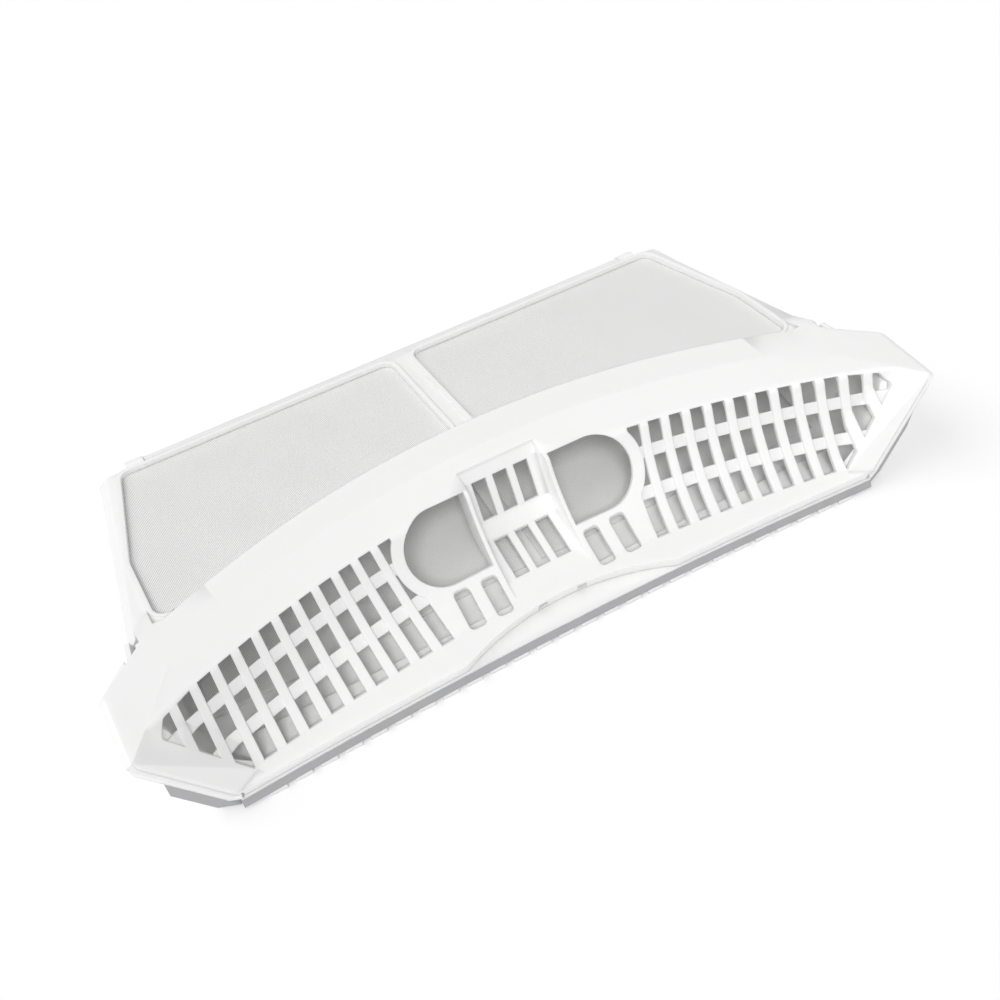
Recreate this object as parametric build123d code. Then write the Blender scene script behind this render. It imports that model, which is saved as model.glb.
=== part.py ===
from build123d import *
import os
from math import atan2, cos, degrees, radians, sin, sqrt, tan

# Lengths are millimetres. While a piece is drawn, y runs from the front edge to the
# hinge; the export moves everything so the origin is the middle of the bottom.

# Overall sizes of the two halves
ear_half = 200.0
ear_corner_y = 49.3
ear_tip_y = 14.0
ear_root_x = 179.0
ear_root_y = 69.0
front_half = 165.6
front_bow = 5.0
front_edge = 1.6
flange_inset = 3.0
lip_inset = 2.6
corner_r = 3.0

# Walls and clearances
wall = 2.2
gap = 0.3
base_t = 2.4

# The three slopes that set the heights: ear plane, screen plane and side joint
ear_tip_z = 51.0
ear_slope = 0.155
screen_low_z = 8.0
screen_far_y = 188.0
screen_slope = 0.29
side_slope = 0.2477
step_y = 72.0
side_far_half = 161.8
side_splay = 0.172
skirt_out = 5.0
skirt_end_w = 40.0
shoulder = 4.0
shoulder_len = 12.0

# Hinge along the far edge
hinge_y = 187.2
hinge_z = 3.8
barrel_r = 3.0
barrel_half = 138.0
lug_r = 3.8
lug_len = 9.0
lug_foot = 11.0
pin_r = 1.8
pin_play = 0.05

# Dished face that carries the slots
lip_r = 420.0
lip_y = 70.0
lip_z = 40.5
lip_rise = 10.0
lip_half = 176.6
crease_y = 90.0
lip_round = 2.0
foot_r = 890.0
foot_y = 23.5
foot_z = 11.2
dish_sag = 6.0
dish_sag_end = 2.0
facet_foot = (156.0, 8.5, 12.8)
facet_top = (184.5, 21.6, 46.3)
last_station = 199.0

# Slots of the dished face
slot_pitch = 10.42
slot_w = 6.4
slot_first = 62.0
slot_lean = 8.0
slot_count = 12
row_top = 0.4
row_1 = 10.5
row_2 = 12.4
cross_bar = 6.0
bar_drop = 1.1
least_slot = 8.0
face_tilt = 45.0

# Finger holes, centre channel and the slots below the holes
hole_in = 22.0
hole_r = 18.0
hole_mid = 41.0
hole_y = 58.0
hole_z = 28.0
hole_tilt = 48.0
collar = 6.0
channel_half = 20.0
channel_slot_w = 7.4
channel_rib = 3.6
channel_row = 19.5
channel_low_row = 21.5
channel_profile = [(81.0, 39.5), (77.5, 35.5), (64.4, 18.4), (57.1, 14.8), (34.4, 11.9)]
channel_foot = (22.0, 16.0)
under_slots = (27.2, 41.3)
under_y = 30.5
under_w = 8.2
under_len = 18.5
under_r = 2.2

# Screens
band_y = 106.8
window_rim = 2.2
window_far = 181.0
window_far_half = 151.5
window_near_half = 165.5
window_kink_y = 118.0
window_r = 6.0
rib_half = 6.0
rim_w = 2.4
rim_h = 1.2
screen_t = 0.4
screen_lap = 2.0

# Front ledge, latch and seal of the rear half
ledge_z = 5.6
ledge_edge = 0.9
ledge_back = 27.0
latch_half = 150.0
sweep_r = 140.0
sweep_y = 18.5
notch_x = 10.3
notch_w = 4.6
notch_d = 3.4
notch_up = 0.9
seal_out = 3.0
seal_t = 1.6
seal_flare = 2.0
tab_pitch = 12.0
tab_len = 8.0
tab_h = 1.3
tab_root = 1.0
corner_seal = 6.0
corner_seal_end = 190.0

# Tray of the rear half: outline at the base and at the height tray_h, and its windows
tray_foot = [(159, 180), (170, 88), (172, 46), (157, 9)]
tray_top = [(172, 180), (183.4, 88), (189, 46), (190, 19)]
tray_h = 56.0
rear_window = [(149, 172), (159, 88), (160, 44.8)]

origin_y = (hinge_y + lug_r + front_edge - seal_out) / 2
far_z = 90.0
far_x = 260.0
far_front = 45.0


def ear_z(y):
    return ear_tip_z - ear_slope * (y - ear_tip_y)


def screen_z(y):
    return screen_low_z + screen_slope * (screen_far_y - y)


def side_z(y):
    return hinge_z + side_slope * (hinge_y - y)


def arc_y(x, apex, radius):
    return apex - radius + sqrt(radius * radius - x * x)


# A closed outline from points for x > 0, mirrored to the other side.
def mirrored(points):
    other = [(-x, y) for x, y in reversed(points) if x > 0]
    return make_face(Polyline(*points, *other, close=True))


# Stands a plan face up as a tall prism.
def prism(plan, low=-5.0, high=far_z):
    return extrude(Pos(0, 0, low) * plan, high - low, dir=(0, 0, 1))


# A solid across the whole width from an outline in y and z.
def across(points, half=far_x):
    outline = Polyline(*[(-half, y, z) for y, z in points], close=True)
    return extrude(make_face(outline), 2 * half, dir=(1, 0, 0))


# The layer between two heights that both depend on y.
def layer(low, high, y0=-20.0, y1=230.0):
    return across([(y0, low(y0)), (y1, low(y1)), (y1, high(y1)), (y0, high(y0))])


def front_top(y):
    return ear_z(y) + gap + wall


# Section of the dished face at one x, moved into the material by drop.
def dish_section(x, drop):
    d = abs(x)
    ty = arc_y(d, lip_y, lip_r)
    tz = lip_z + lip_rise * (d / lip_half) ** 3
    cy = arc_y(d, crease_y, lip_r)
    by = arc_y(d, foot_y, foot_r)
    if d > lip_half:
        tz = front_top(ty) + wall / 2
    a = atan2(tz - foot_z, ty - by)
    miter = drop * tan(a / 2)
    lip = (ty + miter, tz - drop)
    foot = (by + miter, foot_z - drop)
    sag = dish_sag + (dish_sag_end - dish_sag) * d / lip_half
    mid = ((lip[0] + foot[0]) / 2 + sag * sin(a), (lip[1] + foot[1]) / 2 - sag * cos(a))
    rise = (front_top(cy) - tz) / (cy - ty)
    out = (cy + lip_round, tz - drop + rise * (cy + lip_round - ty))
    r = lip_round + drop
    lead = (lip[0] + r, lip[1] + rise * r)
    tail = (lip[0] - r * cos(a), lip[1] - r * sin(a) - r * sag / (dish_sag * 3))
    crown = ((lead[0] + tail[0]) / 4 + lip[0] / 2, (lead[1] + tail[1]) / 4 + lip[1] / 2)
    front = (-far_front, foot_z - drop)

    def p(yz):
        return (x, yz[0], yz[1])

    edges = [
        Line(p(out), p(lead)),
        ThreePointArc(p(lead), p(crown), p(tail)),
        ThreePointArc(p(tail), p(mid), p(foot)),
        Line(p(foot), p(front)),
        Line(p(front), p((front[0], far_z))),
        Line(p((front[0], far_z)), p((out[0], far_z))),
        Line(p((out[0], far_z)), p(out)),
    ]
    return make_face(edges)


# Everything above the plane through three points, moved down by drop.
def above(a, b, c, drop):
    n = (b - a).cross(c - a).normalized()
    up = n if n.Z > 0 else -n
    plane = Plane(origin=a, z_dir=up).offset(-drop)
    return plane * Pos(0, 0, far_x / 2) * Box(4 * far_x, 4 * far_x, far_x)


def rim_facet(drop):
    return above(facet_tip(), facet_low(), Vector(*facet_foot), drop)


def facet_tip():
    return Vector(ear_half - flange_inset, ear_tip_y, front_top(ear_tip_y))


def facet_low():
    return Vector(front_half, lip_inset, foot_z)


# Space in front of the dished face, with its walls moved outward by drop. Each front
# corner is closed by two flat facets that meet along a shallow ridge.
def dish_space(drop):
    stations = [0, 60, 110, 150, lip_half, last_station]
    xs = [-x for x in reversed(stations[1:])] + stations
    space = loft([dish_section(x, drop) for x in xs])
    inner = above(facet_tip(), Vector(*facet_top), Vector(*facet_foot), drop)
    corner = rim_facet(drop) + inner
    space = space & corner & mirror(corner, about=Plane.YZ)
    return space + channel_space(drop)


# Slope of the steep part of the recess between the finger holes.
def channel_angle():
    upper = channel_profile[1]
    lower = channel_profile[2]
    return atan2(upper[1] - lower[1], upper[0] - lower[0])


# The recess between the finger holes, with its walls moved outward by drop.
def channel_space(drop):
    miter = drop * tan(channel_angle() / 2)
    back, upper, lower, bend, low = channel_profile
    run_out, front = channel_foot
    points = [
        (back[0] + drop, front_top(back[0]) + 2 * wall),
        (back[0] + drop, back[1] - drop),
        (upper[0] + miter, upper[1] - drop),
        (lower[0] + miter, lower[1] - drop),
        (bend[0], bend[1] - drop),
        (low[0], low[1] - drop),
        (run_out, foot_z + 0.2 - drop),
        (front, foot_z + 0.2),
        (front, 2 * foot_z),
        (lower[0], far_z),
    ]
    return across(points, channel_half + drop)


def rear_plan():
    side = [
        (ear_root_x, ear_root_y),
        (ear_half, ear_corner_y),
        (ear_half, ear_tip_y),
        (front_half, front_edge),
    ]
    return bowed(side, front_bow + front_edge)


def front_plan():
    i = flange_inset
    side = [
        (ear_root_x - i, ear_root_y - i / 2),
        (ear_half - i, ear_corner_y),
        (ear_half - i, ear_tip_y),
        (front_half, lip_inset),
    ]
    return bowed(side, front_bow + lip_inset)


# Plan outline whose front edge bows back towards the middle and whose far edge is the
# arc of the band.
def bowed(side, bow):
    x0, y0 = side[-1]
    root_y = step_y + wall
    end = sqrt(lip_r * lip_r - (root_y - band_y + lip_r) ** 2)
    right = Polyline((end, root_y), (side[0][0], root_y), *side)
    left = mirror(right, about=Plane.YZ)
    edge = ThreePointArc((-x0, y0), (0, bow), (x0, y0))
    back = ThreePointArc(right @ 0, (0, band_y), left @ 0)
    plan = make_face([right.edges(), left.edges(), edge, back])
    ears = [v for v in plan.vertices() if abs(v.X) > ear_half - 2 * flange_inset]
    return fillet(ears, corner_r)


# Concave cut that clears the front edge of the front half above the latch ledge.
def sweep_plan(grow=0.0):
    return Pos(0, sweep_y - sweep_r) * Circle(sweep_r + grow)


# Plane over the dished face, for drawing slots.
def face_plane(tilt=face_tilt, y=40.0, z=24.0):
    n = (0, -sin(radians(tilt)), cos(radians(tilt)))
    return Plane(origin=(0, y, z), x_dir=(1, 0, 0), z_dir=n)


def along(y, z):
    return (y - 40.0) * cos(radians(face_tilt)) + (z - 24.0) * sin(radians(face_tilt))


def lip_s(x):
    return along(arc_y(x, lip_y, lip_r), lip_z + lip_rise * (x / lip_half) ** 3)


def foot_s(x):
    return along(arc_y(x, foot_y, foot_r), foot_z)


# One slot between two distances below the lip, leaning as its column does.
def slot_shape(k, start, stop):
    x = slot_first + slot_pitch * k
    share = 1 - k / (slot_count - 1)
    lean = slot_lean * share ** 1.3
    total = lip_s(x) - foot_s(x)

    def at(offset, depth):
        return (x + offset - lean * min(depth, total) / total, lip_s(x + offset) - depth)

    low = [at(0, stop), at(slot_w, stop)]
    if stop >= total:
        low = [(x - lean, foot_s(x)), (x + slot_w - lean, foot_s(x + slot_w))]
    return make_face(Polyline(at(0, start), at(slot_w, start), low[1], low[0], close=True))


# Area of the face that may be slotted: clear of the corner facets and the collars.
def slotted_area():
    x1, y1, z1 = facet_foot
    x2, y2, z2 = facet_top
    x3 = lip_half + slot_w / 4
    edge = [
        (0, -far_z),
        (x1 - 1, along(y1, z1) - 1),
        (x2 - 1, along(y2, z2)),
        (x3, lip_s(lip_half)),
        (x3, far_z),
        (0, far_z),
    ]
    return make_face(Polyline(*edge, close=True)) - d_outline(collar, True)


# Outline of a finger hole grown by grow, on its own plane or seen on the slot plane.
def d_outline(grow, on_face=False):
    r = hole_r + grow
    flat = hole_in - grow
    body = Pos((flat + hole_mid) / 2, 0) * Rectangle(hole_mid - flat, 2 * r)
    shape = body + Pos(hole_mid, 0) * Circle(r)
    if on_face:
        shape = Pos(0, along(hole_y, hole_z)) * shape
    return shape


def both_sides(shape):
    return shape + mirror(shape, about=Plane.YZ)


def through(plane, shape, reach=45.0):
    return both_sides(extrude(plane * shape, reach, both=True))


def face_slots():
    depth_2 = row_top + row_1 + cross_bar
    depth_3 = depth_2 + row_2 + cross_bar
    area = slotted_area()
    shapes = []
    for k in range(slot_count):
        x = slot_first + slot_pitch * k
        room = lip_s(x) - foot_s(x)
        shapes.append(slot_shape(k, row_top, row_top + row_1))
        shapes.append(slot_shape(k, depth_2, min(depth_2 + row_2, room)))
        if depth_3 + wall < room:
            shapes.append(slot_shape(k, depth_3, room + 1))
    cut = [s & area for s in shapes]
    keep = [f for s in cut for f in s.faces() if f.area > least_slot]
    return through(face_plane(), Sketch(children=keep))


# Shallow grooves that let the cross bars sit below the ribs.
def bar_grooves():
    area = slotted_area()
    shapes = [slot_shape(k, row_top, far_z) & area for k in range(slot_count)]
    keep = [f for s in shapes for f in s.faces() if f.area > least_slot]
    return through(face_plane(), Sketch(children=keep))


def finger_holes():
    return through(face_plane(hole_tilt, hole_y, hole_z), d_outline(0))


def channel_slots():
    pitch = channel_slot_w + channel_rib
    back, upper, lower, bend, low = channel_profile
    slope = face_plane(degrees(channel_angle()), (upper[0] + lower[0]) / 2, (upper[1] + lower[1]) / 2)
    floor = Plane(origin=(0, (bend[0] + low[0]) / 2, (bend[1] + low[1]) / 2))
    cuts = []
    for i in (-1, 0, 1):
        high = Pos(i * pitch, 0) * Rectangle(channel_slot_w, channel_row)
        cuts.append(extrude(slope * high, 6 * wall, both=True))
        flat = Pos(i * pitch, 0) * Rectangle(channel_slot_w, channel_low_row)
        cuts.append(extrude(floor * flat, 4 * wall, both=True))
    return Part() + cuts


def under_hole_slots():
    shapes = [Pos(x, under_y) * RectangleRounded(under_w, under_len, under_r) for x in under_slots]
    return both_sides(extrude(Sketch() + shapes, ear_tip_z))


# Plan of one screen window, x > 0, grown by grow.
def window(grow=0.0):
    near = band_y + window_rim
    r = lip_r
    inner = rib_half - grow
    corner = arc_y(window_near_half, near, r)
    pts = [
        (inner, arc_y(inner, near, r) - grow),
        (inner, window_far + grow),
        (window_far_half + grow, window_far + grow),
        (window_near_half + grow, window_kink_y),
        (window_near_half + grow, corner - grow),
    ]
    mid_x = window_near_half / 2
    sides = Polyline(*pts)
    edge = ThreePointArc(pts[-1], (mid_x, arc_y(mid_x, near, r) - grow), pts[0])
    face = make_face([sides.edges(), edge])
    corners = [v for v in face.vertices() if abs(v.Y - window_kink_y) > 1]
    return fillet(corners, window_r + grow)


# Half width of the outer side of the shells at the side joint.
def skirt_x(y):
    return side_far_half + side_splay * (hinge_y - y)


def front_frame():
    x_far = skirt_x(hinge_y - lug_r - 2 * gap) - skirt_out
    x_near = skirt_x(step_y) - skirt_out
    lug_x = barrel_half - gap
    lug_y = hinge_y - lug_r - 2 * gap
    side = [
        (lug_x, hinge_y),
        (lug_x, lug_y),
        (x_far, lug_y),
        (x_near, step_y),
    ]
    outline = mirrored(side) - bowed_front(band_y - wall)
    openings = both_sides(window())
    plate = prism(outline - openings) & layer(lambda y: screen_z(y) - wall, screen_z)
    rim = both_sides(window(rim_w)) - openings
    rim = (rim & outline) - bowed_front(band_y + window_rim)
    ridge = prism(rim) & layer(lambda y: screen_z(y) - wall, lambda y: screen_z(y) + rim_h)
    return plate + ridge


# Everything in front of an arc of the band radius.
def bowed_front(apex):
    x = ear_half - 10
    y = arc_y(x, apex, lip_r)
    edge = ThreePointArc((-x, y), (0, apex), (x, y))
    rest = Polyline((x, y), (x, -40), (-x, -40), (-x, y))
    return make_face([edge, rest.edges()])


# Upright wall under the far edge of the band, down to the screen frame.
def band_wall():
    strip = bowed_front(band_y) - bowed_front(band_y - wall)
    x = skirt_x(80) - wall
    strip = strip & Rectangle(2 * x, 600)
    return prism(strip) & layer(lambda y: screen_z(y) - wall, front_top)


# Sloping side of the front half, from the screen plane down to the side joint.
def skirt():
    def section(y, low):
        top = screen_z(y)
        x_s = skirt_x(y)
        x_m = x_s - skirt_out
        pts = [(x_m - 1, top), (x_m, top), (x_s, low), (x_s - wall, low), (x_m - 0.5, top - wall)]
        return make_face(Polyline(*[(x, y, z) for x, z in pts], close=True))

    y_far = hinge_y - lug_r - 2 * gap
    ends = [section(y, side_z(y) + gap) for y in (y_far, step_y)]
    return loft(ends, ruled=True)


# Wall that closes the near end of the skirt up to the ear plate.
def skirt_end():
    x_s = skirt_x(step_y)
    low = side_z(step_y) + gap
    top = front_top(step_y + wall)
    pts = [
        (x_s, low),
        (x_s - skirt_end_w, low),
        (x_s - skirt_end_w, top),
        (x_s - skirt_out - wall / 2, top),
        (x_s - shoulder, top - shoulder),
    ]
    outline = Polyline(*[(x, step_y, z) for x, z in pts], close=True)
    return extrude(make_face(outline), wall, dir=(0, 1, 0))


# Slope from the ear plate down to the screen frame, outside the window.
def shoulder_slope():
    y0 = step_y + wall
    y1 = y0 + shoulder_len
    profile = [
        (step_y, front_top(y0) - wall),
        (step_y, front_top(y0)),
        (y0, front_top(y0)),
        (y1, screen_z(y1)),
        (y1, screen_z(y1) - wall / 2),
        (y0, screen_z(y0) - wall / 2),
    ]
    inner = window_near_half + rim_w
    plan = Polyline(
        (inner, step_y),
        (inner, y1),
        (skirt_x(y1) - skirt_out, y1),
        (skirt_x(step_y) - skirt_out, step_y),
        close=True,
    )
    return across(profile) & prism(make_face(plan))


# Front edge of the front half: a short wall down to the ledge, swept back at the latch.
def front_lip():
    inner = Pos(0, wall) * front_plan() - sweep_plan(wall)
    block = Rectangle(2 * front_half - 4, 62) - inner
    return prism(block, ledge_z + gap, foot_z - wall / 2)


def hinge_barrel():
    axis = Plane(origin=(-barrel_half, hinge_y, hinge_z), x_dir=(0, 1, 0), z_dir=(1, 0, 0))
    barrel = extrude(axis * Circle(barrel_r), 2 * barrel_half)
    pins = extrude(axis.offset(-lug_len + gap) * Circle(pin_r), 2 * (barrel_half + lug_len - gap))
    return barrel + pins


def front_shell():
    inside = dish_space(0)
    skin = dish_space(wall) - inside
    under = layer(lambda y: -5, front_top)
    swept = front_plan() - sweep_plan()
    skin = (skin & under) + front_lip()
    skin = skin & prism(swept, 0)
    ears = prism(front_plan()) & layer(lambda y: ear_z(y) + gap, front_top)
    ears = ears - inside
    holes = finger_holes() + channel_slots() + under_hole_slots()
    skin = skin - holes
    grooves = bar_grooves() & dish_space(bar_drop)
    skin = skin - grooves - face_slots() - latch_notches()
    sides = both_sides(skirt() + skirt_end() + shoulder_slope())
    return skin + ears + front_frame() + band_wall() + sides + hinge_barrel()


def latch_notches():
    y = sweep_y - 2
    cut = Pos(notch_x, y, ledge_z + notch_up + notch_d / 2) * Box(notch_w, 4 * wall, notch_d)
    return both_sides(cut)


# Outline of the rear tray at the base and far above it, drawn in by inset.
def tray_plan(top, inset):
    plan = mirrored(tray_top if top else tray_foot)
    return offset(plan, -inset, kind=Kind.INTERSECTION) if inset else plan


def tray_block(inset, floor):
    low = tray_plan(False, inset)
    up = tray_plan(True, inset)
    block = loft([low, Pos(0, 0, tray_h) * up], ruled=True)
    return block & Pos(0, 100, floor + 50) * Box(2 * far_x, 400, 100)


# Space under the two joints between the halves.
def under_joint():
    step = step_y - gap
    pts = [(-30, -5), (-30, ear_z(-30)), (step, ear_z(step)), (step, side_z(step)), (230, side_z(230)), (230, -5)]
    return across(pts)


def rear_windows():
    far, bend, near = rear_window
    pts = [(rib_half, near[1]), (rib_half, far[1]), far, bend, near]
    face = make_face(Polyline(*pts, close=True))
    return fillet([v for v in face.vertices() if abs(v.Y - bend[1]) > 1], window_r)


def rear_shell():
    tray = tray_block(0, 0) - tray_block(wall, base_t)
    ear = prism(rear_plan() - offset(tray_plan(True, 0), -wall)) & layer(lambda y: ear_z(y) - wall, ear_z)
    ear = ear & Pos(0, 0, 40) * Box(2 * far_x, 2 * (step_y - gap), 80)
    clear = dish_space(wall + gap)
    strip = rear_plan() - offset(rear_plan(), -10)
    strip = strip - Rectangle(2 * front_half - 2, 2 * ledge_back)
    facet = prism(strip) & layer(lambda y: 0, ear_z) & dish_space(2 * wall + gap)
    shell = (tray + ear) & under_joint()
    over_ledge = prism(Rectangle(2 * latch_half, 2 * ledge_back), ledge_z - wall / 2)
    shell = shell - clear - over_ledge + (facet - clear)
    return shell + ledge() + lugs() - prism(both_sides(rear_windows()), -1, base_t + 1)


# Ledge in front of the latch, with the wall below that carries the seal.
def ledge():
    plan = rear_plan() & Pos(0, 0) * Rectangle(2 * front_half, 2 * ledge_back)
    plate = prism(plan, ledge_z - wall, ledge_z)
    back = plan & Pos(0, ledge_back - wall / 2) * Rectangle(2 * front_half, wall)
    riser = prism(back, 0, ledge_z)
    front = plan - Pos(0, seal_t) * plan
    web = Pos(0, seal_t, 0) * prism(front, 0, ledge_z)
    plate = plate - prism(front, 0, ledge_z - ledge_edge)
    return plate + riser + web + tabs()


# Row of small feet along the lower front edge.
def tabs():
    count = int((2 * front_half - 2 * tab_pitch) // tab_pitch)
    radius = front_half * front_half / (2 * front_bow)
    depth = seal_out + seal_t + tab_root
    row = []
    for i in range(count + 1):
        x = (i - count / 2) * tab_pitch
        y = arc_y(x, front_bow + front_edge, radius) - seal_out + depth / 2
        row.append(Pos(x, y, tab_h / 2) * Box(tab_len, depth, tab_h))
    return Part() + row


def lugs():
    axis = Plane(origin=(barrel_half + gap, hinge_y, hinge_z), x_dir=(0, 1, 0), z_dir=(1, 0, 0))
    foot = Pos(-lug_foot / 2, -hinge_z / 2) * Rectangle(lug_foot, hinge_z)
    shape = Circle(lug_r) + foot - Circle(pin_r + pin_play)
    return both_sides(extrude(axis * shape, lug_len))


def screen_front():
    plan = window(screen_lap)
    return prism(plan) & layer(lambda y: screen_z(y) - wall - screen_t, lambda y: screen_z(y) - wall)


def screen_rear():
    plan = offset(rear_windows(), screen_lap)
    return prism(plan, base_t, base_t + screen_t)


# Soft strip that flares out under the front ledge and turns up under the corner facets.
def seal():
    plan = rear_plan()
    front = (plan - Pos(0, seal_t) * plan) & Rectangle(2 * front_half, 2 * ledge_back)
    band = loft([Pos(0, -seal_flare, tab_h) * front, Pos(0, 0, ledge_z - ledge_edge) * front], ruled=True)
    length = corner_seal_end - front_half
    edge = plan - offset(plan, -seal_t)
    edge = edge & Pos(front_half + length / 2, 0) * Rectangle(length, 2 * ear_tip_y)
    under = 2 * wall + gap
    corner = prism(edge, tab_h) & (rim_facet(under + corner_seal) - rim_facet(under))
    return band + both_sides(corner)


def save(name, shape):
    solid = Pos(0, -origin_y, 0) * shape
    export_step(solid, "parts/" + name + ".step")


os.makedirs("parts", exist_ok=True)
save("front_shell", front_shell())
save("rear_shell", rear_shell())
save("front_screen_right", screen_front())
save("front_screen_left", mirror(screen_front(), about=Plane.YZ))
save("rear_screen_right", screen_rear())
save("rear_screen_left", mirror(screen_rear(), about=Plane.YZ))
save("flange_seal", seal())
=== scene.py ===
import math
from collections import namedtuple

import bmesh
import bpy
from bpy.props import FloatProperty, FloatVectorProperty, IntProperty, PointerProperty
from mathutils import Euler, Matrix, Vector


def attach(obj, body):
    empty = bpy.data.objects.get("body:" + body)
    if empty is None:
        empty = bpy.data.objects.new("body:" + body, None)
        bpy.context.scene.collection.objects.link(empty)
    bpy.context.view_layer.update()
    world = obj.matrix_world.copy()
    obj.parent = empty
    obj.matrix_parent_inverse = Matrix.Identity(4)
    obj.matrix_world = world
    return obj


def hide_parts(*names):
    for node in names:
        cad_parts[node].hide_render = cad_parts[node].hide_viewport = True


bl_info = {
    "name": "Lint filter dressing",
    "version": (1, 0, 0),
    "blender": (4, 5, 0),
    "location": "View3D > Sidebar > Lint filter",
    "description": "Dresses the hinged lint filter with moulded plastic, woven screens and a soft seal",
    "category": "Object",
}

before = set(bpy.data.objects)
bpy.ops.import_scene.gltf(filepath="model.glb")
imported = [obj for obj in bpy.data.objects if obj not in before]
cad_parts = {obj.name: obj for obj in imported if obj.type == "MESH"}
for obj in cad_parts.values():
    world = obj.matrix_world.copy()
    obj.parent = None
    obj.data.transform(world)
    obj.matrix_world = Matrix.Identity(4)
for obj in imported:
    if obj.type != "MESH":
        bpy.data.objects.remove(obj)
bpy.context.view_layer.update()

MM = 0.001
WHITE = (1.0, 1.0, 1.0)

# Sizes shared with the solids, in millimetres, with y from the front edge
ORIGIN_Y = 94.8
BAND_ARC = 420.0
WINDOW_NEAR = 109.0
WINDOW_FAR = 181.0
WINDOW_IN = 6.0
WINDOW_OUT_NEAR = 165.5
WINDOW_OUT_FAR = 151.5
WINDOW_KINK = 118.0
SCREEN_LAP = 2.0
SCREEN_SEAT = 0.2
SCREEN_LOW = 8.0
SCREEN_FAR = 188.0
SCREEN_SLOPE = 0.29
WALL = 2.2
REAR_NEAR = 44.8
REAR_MID = 88.0
REAR_FAR = 172.0
REAR_OUT_NEAR = 160.0
REAR_OUT_MID = 159.0
REAR_OUT_FAR = 149.0
FLOOR_T = 2.4

# Joining of the solids' triangles: distances in metres, angle in degrees
JOIN_WITHIN = 2e-5
SLIVER = 1e-6
SHARP_ANGLE = 16.0
FLAT_WEIGHT = 80

# Noise scales per metre, tints as shares of the colour, depth of the grain in metres
Skin = namedtuple("Skin", "cloud grain grain_detail dark pale bump depth")
PLASTIC_SKIN = Skin(cloud=38.0, grain=2600.0, grain_detail=1.0, dark=0.985, pale=1.01, bump=0.12, depth=0.00003)
STRIP_SKIN = Skin(cloud=120.0, grain=3200.0, grain_detail=2.0, dark=0.92, pale=1.06, bump=0.2, depth=0.00004)
CLOUD_DETAIL = 3.0
EDGE_SAMPLES = 6
PLASTIC_IOR = 1.49
SATIN_SPREAD = 0.12
STRIP_SPREAD = 0.15

# Weave of the cloth
THREAD_SHAPE = 2.4
THREAD_BUMP = 0.3
THREAD_DEPTH = 0.0001
THREAD_SATIN = 0.1
DRIFT_SCALE = 30.0
DRIFT_DETAIL = 2.0
DRIFT_DARK = 0.97

# Waves of the cloth: share of a side that the frame holds flat, and two ripples as
# height and millimetres across and along for a radian
HELD_SHARE = 1 / 6
RIPPLES = ((0.3, 11.0, 17.0), (0.2, 7.0, -9.0))
RIPPLE_MEAN = 0.5

# Stage, in metres and degrees
FLOOR_HALF = 4.0
FLOOR_DROP = 0.0002
FLOOR_ROUGHNESS = 0.9
KEY_PLACE, KEY_SPREAD = (-1.9, 1.1, 2.4), 40.0
FRONT_PLACE, FRONT_SPREAD = (-1.0, -1.65, 3.0), 22.0
SENSOR = 36.0
CLIP_START = 0.01

# Sockets of a Mix node that is set to colours
MIX_FACTOR, MIX_FIRST, MIX_SECOND, MIX_RESULT = 0, 6, 7, 2


class PlasticProps(bpy.types.PropertyGroup):
    """White moulded plastic of both halves"""

    colour: FloatVectorProperty(
        name="Colour", description="Colour of the moulded plastic", subtype="COLOR",
        default=(0.90, 0.90, 0.895), min=0.0, max=1.0,
    )
    roughness: FloatProperty(
        name="Roughness", description="Satin of the moulded skin", default=0.45, min=0.0, max=1.0,
    )
    glow: FloatProperty(
        name="Glow", description="Share of the light that passes through the thin walls",
        default=0.35, min=0.0, max=1.0,
    )
    glow_depth: FloatProperty(
        name="Glow depth", description="How far light travels inside the plastic",
        default=0.004, unit="LENGTH", min=0.0,
    )
    edge: FloatProperty(
        name="Edge radius", description="Rounding of the moulded edges", default=0.0007, unit="LENGTH", min=0.0,
    )


class ScreenProps(bpy.types.PropertyGroup):
    """Nylon mesh of the four screens"""

    thread: FloatVectorProperty(
        name="Thread colour", description="Colour of the nylon thread", subtype="COLOR",
        default=(0.95, 0.95, 0.945), min=0.0, max=1.0,
    )
    opening: FloatVectorProperty(
        name="Opening colour", description="Colour between the threads", subtype="COLOR",
        default=(0.80, 0.80, 0.80), min=0.0, max=1.0,
    )
    cover: FloatProperty(
        name="Cover", description="Share of the light that an opening of the weave holds back",
        default=0.25, min=0.0, max=1.0,
    )
    roughness: FloatProperty(
        name="Roughness", description="Roughness between the threads", default=0.62, min=0.0, max=1.0,
    )
    pitch: FloatProperty(
        name="Thread pitch", description="Distance from thread to thread", default=0.0007, unit="LENGTH",
    )
    thickness: FloatProperty(
        name="Thickness", description="Thickness of the cloth", default=0.0003, unit="LENGTH",
    )
    slack: FloatProperty(
        name="Slack", description="Depth of the soft waves in the cloth", default=0.0005, unit="LENGTH",
    )
    cuts: IntProperty(name="Cuts", description="Faces along each side of a screen", default=60, min=8)


class SealProps(bpy.types.PropertyGroup):
    """Soft strip under the front ledge"""

    colour: FloatVectorProperty(
        name="Colour", description="Colour of the soft strip", subtype="COLOR",
        default=(0.40, 0.40, 0.41), min=0.0, max=1.0,
    )
    roughness: FloatProperty(
        name="Roughness", description="Least roughness of the soft strip", default=0.6, min=0.0, max=1.0,
    )
    edge: FloatProperty(
        name="Edge radius", description="Rounding of the strip's edges", default=0.0004, unit="LENGTH", min=0.0,
    )


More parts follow.
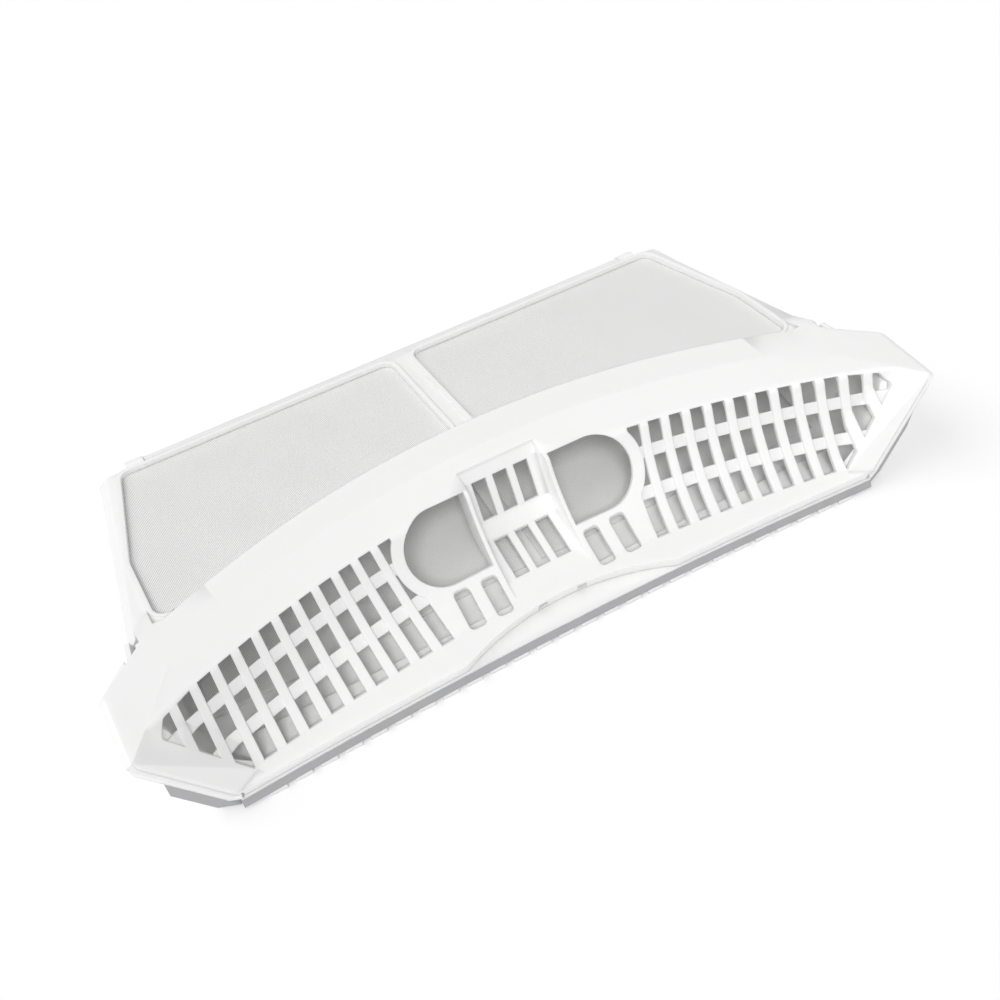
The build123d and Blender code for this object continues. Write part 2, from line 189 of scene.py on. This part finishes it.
class StageProps(bpy.types.PropertyGroup):
    """Camera, floor and light"""

    lens: FloatProperty(name="Lens", description="Focal length for a 36 mm sensor", default=46.08)
    elevation: FloatProperty(
        name="Elevation", description="Height of the camera's view", subtype="ANGLE", default=math.radians(55.34),
    )
    azimuth: FloatProperty(
        name="Azimuth", description="Turn of the camera round the object", subtype="ANGLE",
        default=math.radians(-29.64),
    )
    place: FloatVectorProperty(
        name="Place", description="Where the camera stands", subtype="TRANSLATION",
        default=(-0.1711, -0.3195, 0.5127),
    )
    sky: FloatProperty(name="Sky light", description="Strength of the even light", default=0.47, min=0.0)
    key: FloatProperty(
        name="Key light", description="Strength of the wide light from behind", default=0.75, min=0.0,
    )
    front: FloatProperty(
        name="Front light", description="Strength of the light from above the camera", default=1.42, min=0.0,
    )
    floor: FloatVectorProperty(
        name="Floor colour", description="Colour of the floor", subtype="COLOR",
        default=(0.97, 0.97, 0.97), min=0.0, max=1.0,
    )


class Value:
    """A shader socket that takes part in sums."""

    def __init__(self, tree, socket):
        self.tree = tree
        self.socket = socket

    def _math(self, operation, first, second=None):
        values = {0: first}
        if second is not None:
            values[1] = second
        return self.tree.node("ShaderNodeMath", {"operation": operation}, values)

    def __add__(self, other):
        return self._math("ADD", self, other)

    __radd__ = __add__

    def __sub__(self, other):
        return self._math("SUBTRACT", self, other)

    def __rsub__(self, other):
        return self._math("SUBTRACT", other, self)

    def __mul__(self, other):
        return self._math("MULTIPLY", self, other)

    __rmul__ = __mul__

    def sine(self):
        return self._math("SINE", self)

    def absolute(self):
        return self._math("ABSOLUTE", self)

    def larger(self, other):
        return self._math("MAXIMUM", self, other)

    def power(self, other):
        return self._math("POWER", self, other)


class Finish:
    """The nodes of a material or of the world, added one by one."""

    def __init__(self, owner, shader="Principled BSDF"):
        owner.use_nodes = True
        self.owner = owner
        self.nodes = owner.node_tree.nodes
        self.links = owner.node_tree.links
        self.shader = self.nodes[shader]

    def node(self, kind, settings=None, inputs=None, output=0):
        made = self.nodes.new(kind)
        for key, value in (settings or {}).items():
            setattr(made, key, value)
        for key, value in (inputs or {}).items():
            self.put(made.inputs[key], value)
        return Value(self, made.outputs[output])

    def put(self, socket, value):
        if isinstance(value, Value):
            self.links.new(value.socket, socket)
        elif hasattr(value, "__len__") and len(value) == 3 and socket.type == "RGBA":
            socket.default_value = (*value, 1.0)
        else:
            socket.default_value = value

    def set(self, **sockets):
        for key, value in sockets.items():
            self.put(self.shader.inputs[key.replace("_", " ")], value)

    def place(self):
        return self.node("ShaderNodeTexCoord", output="Object")

    def along(self, where, axis):
        return self.node("ShaderNodeSeparateXYZ", {}, {0: where}, axis)

    def ray(self, kind):
        return self.node("ShaderNodeLightPath", output=kind)

    def noise(self, where, scale, detail):
        return self.node("ShaderNodeTexNoise", {}, {"Vector": where, "Scale": scale, "Detail": detail}, "Fac")

    def mix(self, factor, first, second):
        inputs = {MIX_FACTOR: factor, MIX_FIRST: first, MIX_SECOND: second}
        return self.node("ShaderNodeMix", {"data_type": "RGBA"}, inputs, MIX_RESULT)

    def scaled(self, colour, by):
        return self.node("ShaderNodeVectorMath", {"operation": "SCALE"}, {0: colour, "Scale": by})


def shade(colour, by):
    return tuple(c * by for c in colour)


# Faint clouds in the colour and a fine grain over rounded edges. Gives back the clouds.
def put_skin(made, props, skin):
    where = made.place()
    cloud = made.noise(where, skin.cloud, CLOUD_DETAIL)
    grain = made.noise(where, skin.grain, skin.grain_detail)
    colour = made.mix(cloud, shade(props.colour, skin.dark), shade(props.colour, skin.pale))
    edge = made.node("ShaderNodeBevel", {"samples": EDGE_SAMPLES}, {"Radius": props.edge})
    relief = {"Strength": skin.bump, "Distance": skin.depth, "Height": grain, "Normal": edge}
    made.set(Base_Color=colour, Normal=made.node("ShaderNodeBump", {}, relief))
    return cloud


def moulded_plastic(props):
    made = Finish(bpy.data.materials.new("moulded_plastic"))
    cloud = put_skin(made, props, PLASTIC_SKIN)
    made.set(Roughness=props.roughness + (cloud - 0.5) * SATIN_SPREAD, IOR=PLASTIC_IOR)
    made.set(Subsurface_Weight=props.glow, Subsurface_Scale=props.glow_depth, Subsurface_Radius=(1.0, 1.0, 1.0))
    return made.owner


def soft_strip(props):
    made = Finish(bpy.data.materials.new("soft_strip"))
    cloud = put_skin(made, props, STRIP_SKIN)
    made.set(Roughness=props.roughness + cloud * STRIP_SPREAD)
    return made.owner


def woven_screen(props):
    made = Finish(bpy.data.materials.new("woven_screen"))
    where = made.place()
    turn = math.pi / props.pitch
    warp = (made.along(where, "X") * turn).sine().absolute()
    weft = (made.along(where, "Y") * turn).sine().absolute()
    thread = warp.larger(weft).power(THREAD_SHAPE)
    drift = made.noise(where, DRIFT_SCALE, DRIFT_DETAIL)
    colour = made.mix(thread, props.opening, props.thread)
    colour = made.mix(drift, made.scaled(colour, DRIFT_DARK), colour)
    relief = {"Strength": THREAD_BUMP, "Distance": THREAD_DEPTH, "Height": thread}
    bump = made.node("ShaderNodeBump", {}, relief)
    made.set(Base_Color=colour, Roughness=props.roughness - thread * THREAD_SATIN, Normal=bump)
    made.set(Alpha=props.cover + thread * (1.0 - props.cover))
    return made.owner


def wear(obj, material):
    obj.data.materials.clear()
    obj.data.materials.append(material)


def new_object(name, bm):
    mesh = bpy.data.meshes.new(name)
    bm.to_mesh(mesh)
    bm.free()
    obj = bpy.data.objects.new(name, mesh)
    bpy.context.scene.collection.objects.link(obj)
    return obj


# A copy of a solid with its triangles joined, shaded smooth up to its real edges.
def joined_copy(node, name, body):
    bm = bmesh.new()
    bm.from_mesh(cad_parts[node].data)
    bmesh.ops.remove_doubles(bm, verts=bm.verts, dist=JOIN_WITHIN)
    bmesh.ops.dissolve_degenerate(bm, edges=bm.edges, dist=SLIVER)
    obj = new_object(name, bm)
    obj.data.shade_smooth()
    obj.data.set_sharp_from_angle(angle=math.radians(SHARP_ANGLE))
    level = obj.modifiers.new("flat faces", "WEIGHTED_NORMAL")
    level.mode = "FACE_AREA"
    level.weight = FLAT_WEIGHT
    level.keep_sharp = True
    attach(obj, body)
    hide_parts(node)
    return obj


class LINT_OT_front_half(bpy.types.Operator):
    """Front half in moulded plastic"""

    bl_idname = "lint.front_half"
    bl_label = "Front half"

    def execute(self, context):
        obj = joined_copy("front_shell", "front_moulding", "front_half")
        wear(obj, moulded_plastic(context.scene.lint_plastic))
        return {"FINISHED"}


class LINT_OT_rear_half(bpy.types.Operator):
    """Rear half in moulded plastic"""

    bl_idname = "lint.rear_half"
    bl_label = "Rear half"

    def execute(self, context):
        obj = joined_copy("rear_shell", "rear_moulding", "rear_half")
        wear(obj, moulded_plastic(context.scene.lint_plastic))
        return {"FINISHED"}


# Value at y on the straight line between two points.
def line(y, y0, v0, y1, v1):
    return v0 + (y - y0) / (y1 - y0) * (v1 - v0)


def near_edge(x):
    return WINDOW_NEAR - BAND_ARC + math.sqrt(BAND_ARC * BAND_ARC - x * x) - SCREEN_LAP


def front_edge_out(y):
    if y <= WINDOW_KINK:
        return WINDOW_OUT_NEAR + SCREEN_LAP
    return line(y, WINDOW_KINK, WINDOW_OUT_NEAR, WINDOW_FAR, WINDOW_OUT_FAR) + SCREEN_LAP


def rear_edge_out(y):
    if y <= REAR_MID:
        return line(y, REAR_NEAR, REAR_OUT_NEAR, REAR_MID, REAR_OUT_MID) + SCREEN_LAP
    return line(y, REAR_MID, REAR_OUT_MID, REAR_FAR, REAR_OUT_FAR) + SCREEN_LAP


# Place of a point of a screen, from its shares across and along, in millimetres. The near
# edge bends with x and the outer edge with y, so three rounds settle both.
def front_point(across, along):
    y = WINDOW_NEAR + along * (WINDOW_FAR + SCREEN_LAP - WINDOW_NEAR)
    for _ in range(3):
        x = WINDOW_IN - SCREEN_LAP + across * (front_edge_out(y) - WINDOW_IN + SCREEN_LAP)
        near = near_edge(x)
        y = near + along * (WINDOW_FAR + SCREEN_LAP - near)
    z = SCREEN_LOW + SCREEN_SLOPE * (SCREEN_FAR - y) - WALL - SCREEN_SEAT
    return x, y, z


def rear_point(across, along):
    y = REAR_NEAR - SCREEN_LAP + along * (REAR_FAR - REAR_NEAR + 2 * SCREEN_LAP)
    x = WINDOW_IN - SCREEN_LAP + across * (rear_edge_out(y) - WINDOW_IN + SCREEN_LAP)
    return x, y, FLOOR_T + SCREEN_SEAT


# Soft waves of stretched cloth, fading out where the frame holds it.
def wave(x, y, across, along):
    free = min(1.0, min(across, 1 - across, along, 1 - along) / HELD_SHARE)
    return free * (RIPPLE_MEAN + sum(h * math.sin(x / a + y / b) for h, a, b in RIPPLES))


def screen(name, body, node, point, side, lift, props):
    bm = bmesh.new()
    bmesh.ops.create_grid(bm, x_segments=props.cuts, y_segments=props.cuts, size=0.5)
    for v in bm.verts:
        across, along = v.co.x + 0.5, v.co.y + 0.5
        x, y, z = point(across, along)
        dip = wave(x, y, across, along) * props.slack
        v.co = Vector((side * x * MM, (y - ORIGIN_Y) * MM, z * MM + lift * dip))
    area = sum(f.calc_area() for f in bm.faces)
    bmesh.ops.recalc_face_normals(bm, faces=bm.faces)
    if sum(f.normal.z for f in bm.faces) < 0:
        bmesh.ops.reverse_faces(bm, faces=bm.faces)
    obj = new_object(name, bm)
    obj.data.shade_smooth()
    thick = obj.modifiers.new("thickness", "SOLIDIFY")
    thick.thickness = props.thickness
    thick.offset = 0.0
    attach(obj, body)
    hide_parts(node)
    return obj


class LINT_OT_screens(bpy.types.Operator):
    """The four woven screens, stretched over the windows"""

    bl_idname = "lint.screens"
    bl_label = "Screens"

    def execute(self, context):
        props = context.scene.lint_screen
        cloth = woven_screen(props)
        for side, word in ((1, "right"), (-1, "left")):
            for half, point, lift in (("front", front_point, -1.0), ("rear", rear_point, 1.0)):
                name, node = f"{half}_weave_{word}", f"{half}_screen_{word}"
                wear(screen(name, half + "_half", node, point, side, lift, props), cloth)
        return {"FINISHED"}


class LINT_OT_seal(bpy.types.Operator):
    """Soft strip under the front ledge"""

    bl_idname = "lint.seal"
    bl_label = "Seal"

    def execute(self, context):
        obj = joined_copy("flange_seal", "soft_seal", "rear_half")
        wear(obj, soft_strip(context.scene.lint_seal))
        return {"FINISHED"}


# The sky lights the part evenly, and is plain white where it is seen.
def studio_world(props):
    world = bpy.data.worlds.new("studio")
    bpy.context.scene.world = world
    made = Finish(world, "Background")
    made.set(Color=WHITE, Strength=props.sky)
    light = Value(made, made.shader.outputs[0])
    shown = made.node("ShaderNodeBackground", {}, {"Color": WHITE})
    seen = made.ray("Is Camera Ray") + made.ray("Is Glossy Ray") + made.ray("Is Transmission Ray")
    sky = made.node("ShaderNodeMixShader", {}, {0: seen, 1: light, 2: shown})
    made.put(made.nodes["World Output"].inputs["Surface"], sky)


def studio_floor(props):
    made = Finish(bpy.data.materials.new("studio_floor"))
    made.set(Base_Color=tuple(props.floor), Roughness=FLOOR_ROUGHNESS)
    bm = bmesh.new()
    bmesh.ops.create_grid(bm, x_segments=1, y_segments=1, size=FLOOR_HALF)
    bmesh.ops.translate(bm, verts=bm.verts, vec=(0.0, 0.0, -FLOOR_DROP))
    obj = new_object("studio_floor", bm)
    wear(obj, made.owner)


# A far lamp that shines from its place towards the origin.
def studio_lamp(name, strength, spread, place):
    lamp = bpy.data.lights.new(name, "SUN")
    lamp.angle = math.radians(spread)
    lamp.energy = strength
    obj = bpy.data.objects.new(name, lamp)
    bpy.context.scene.collection.objects.link(obj)
    obj.location = place
    obj.rotation_euler = (-Vector(place)).to_track_quat("-Z", "Y").to_euler()


def studio_camera(props):
    camera = bpy.data.cameras.new("photo_view")
    camera.lens = props.lens
    camera.sensor_width = SENSOR
    camera.clip_start = CLIP_START
    obj = bpy.data.objects.new("photo_view", camera)
    bpy.context.scene.collection.objects.link(obj)
    obj.location = props.place
    obj.rotation_euler = Euler((math.pi / 2 - props.elevation, 0.0, props.azimuth))
    bpy.context.scene.camera = obj


class LINT_OT_stage(bpy.types.Operator):
    """Floor, light and camera"""

    bl_idname = "lint.stage"
    bl_label = "Stage"

    def execute(self, context):
        props = context.scene.lint_stage
        context.scene.view_settings.view_transform = "Standard"
        studio_world(props)
        studio_floor(props)
        studio_lamp("key", props.key, KEY_SPREAD, KEY_PLACE)
        studio_lamp("front", props.front, FRONT_SPREAD, FRONT_PLACE)
        studio_camera(props)
        return {"FINISHED"}


class LINT_PT_panel(bpy.types.Panel):
    """Steps of the dressing"""

    bl_idname = "LINT_PT_panel"
    bl_label = "Lint filter"
    bl_space_type = "VIEW_3D"
    bl_region_type = "UI"
    bl_category = "Lint filter"

    def draw(self, context):
        for step in STEPS:
            self.layout.operator(step.bl_idname)


STEPS = (LINT_OT_front_half, LINT_OT_rear_half, LINT_OT_screens, LINT_OT_seal, LINT_OT_stage)
GROUPS = {
    "lint_plastic": PlasticProps, "lint_screen": ScreenProps, "lint_seal": SealProps, "lint_stage": StageProps,
}


def register():
    for name, group in GROUPS.items():
        bpy.utils.register_class(group)
        setattr(bpy.types.Scene, name, PointerProperty(type=group))
    for step in STEPS:
        bpy.utils.register_class(step)
    bpy.utils.register_class(LINT_PT_panel)


def unregister():
    bpy.utils.unregister_class(LINT_PT_panel)
    for step in reversed(STEPS):
        bpy.utils.unregister_class(step)
    for name, group in GROUPS.items():
        delattr(bpy.types.Scene, name)
        bpy.utils.unregister_class(group)


def main():
    register()
    bpy.ops.lint.front_half()
    bpy.ops.lint.rear_half()
    bpy.ops.lint.screens()
    bpy.ops.lint.seal()
    bpy.ops.lint.stage()


if __name__ == "__main__":
    main()
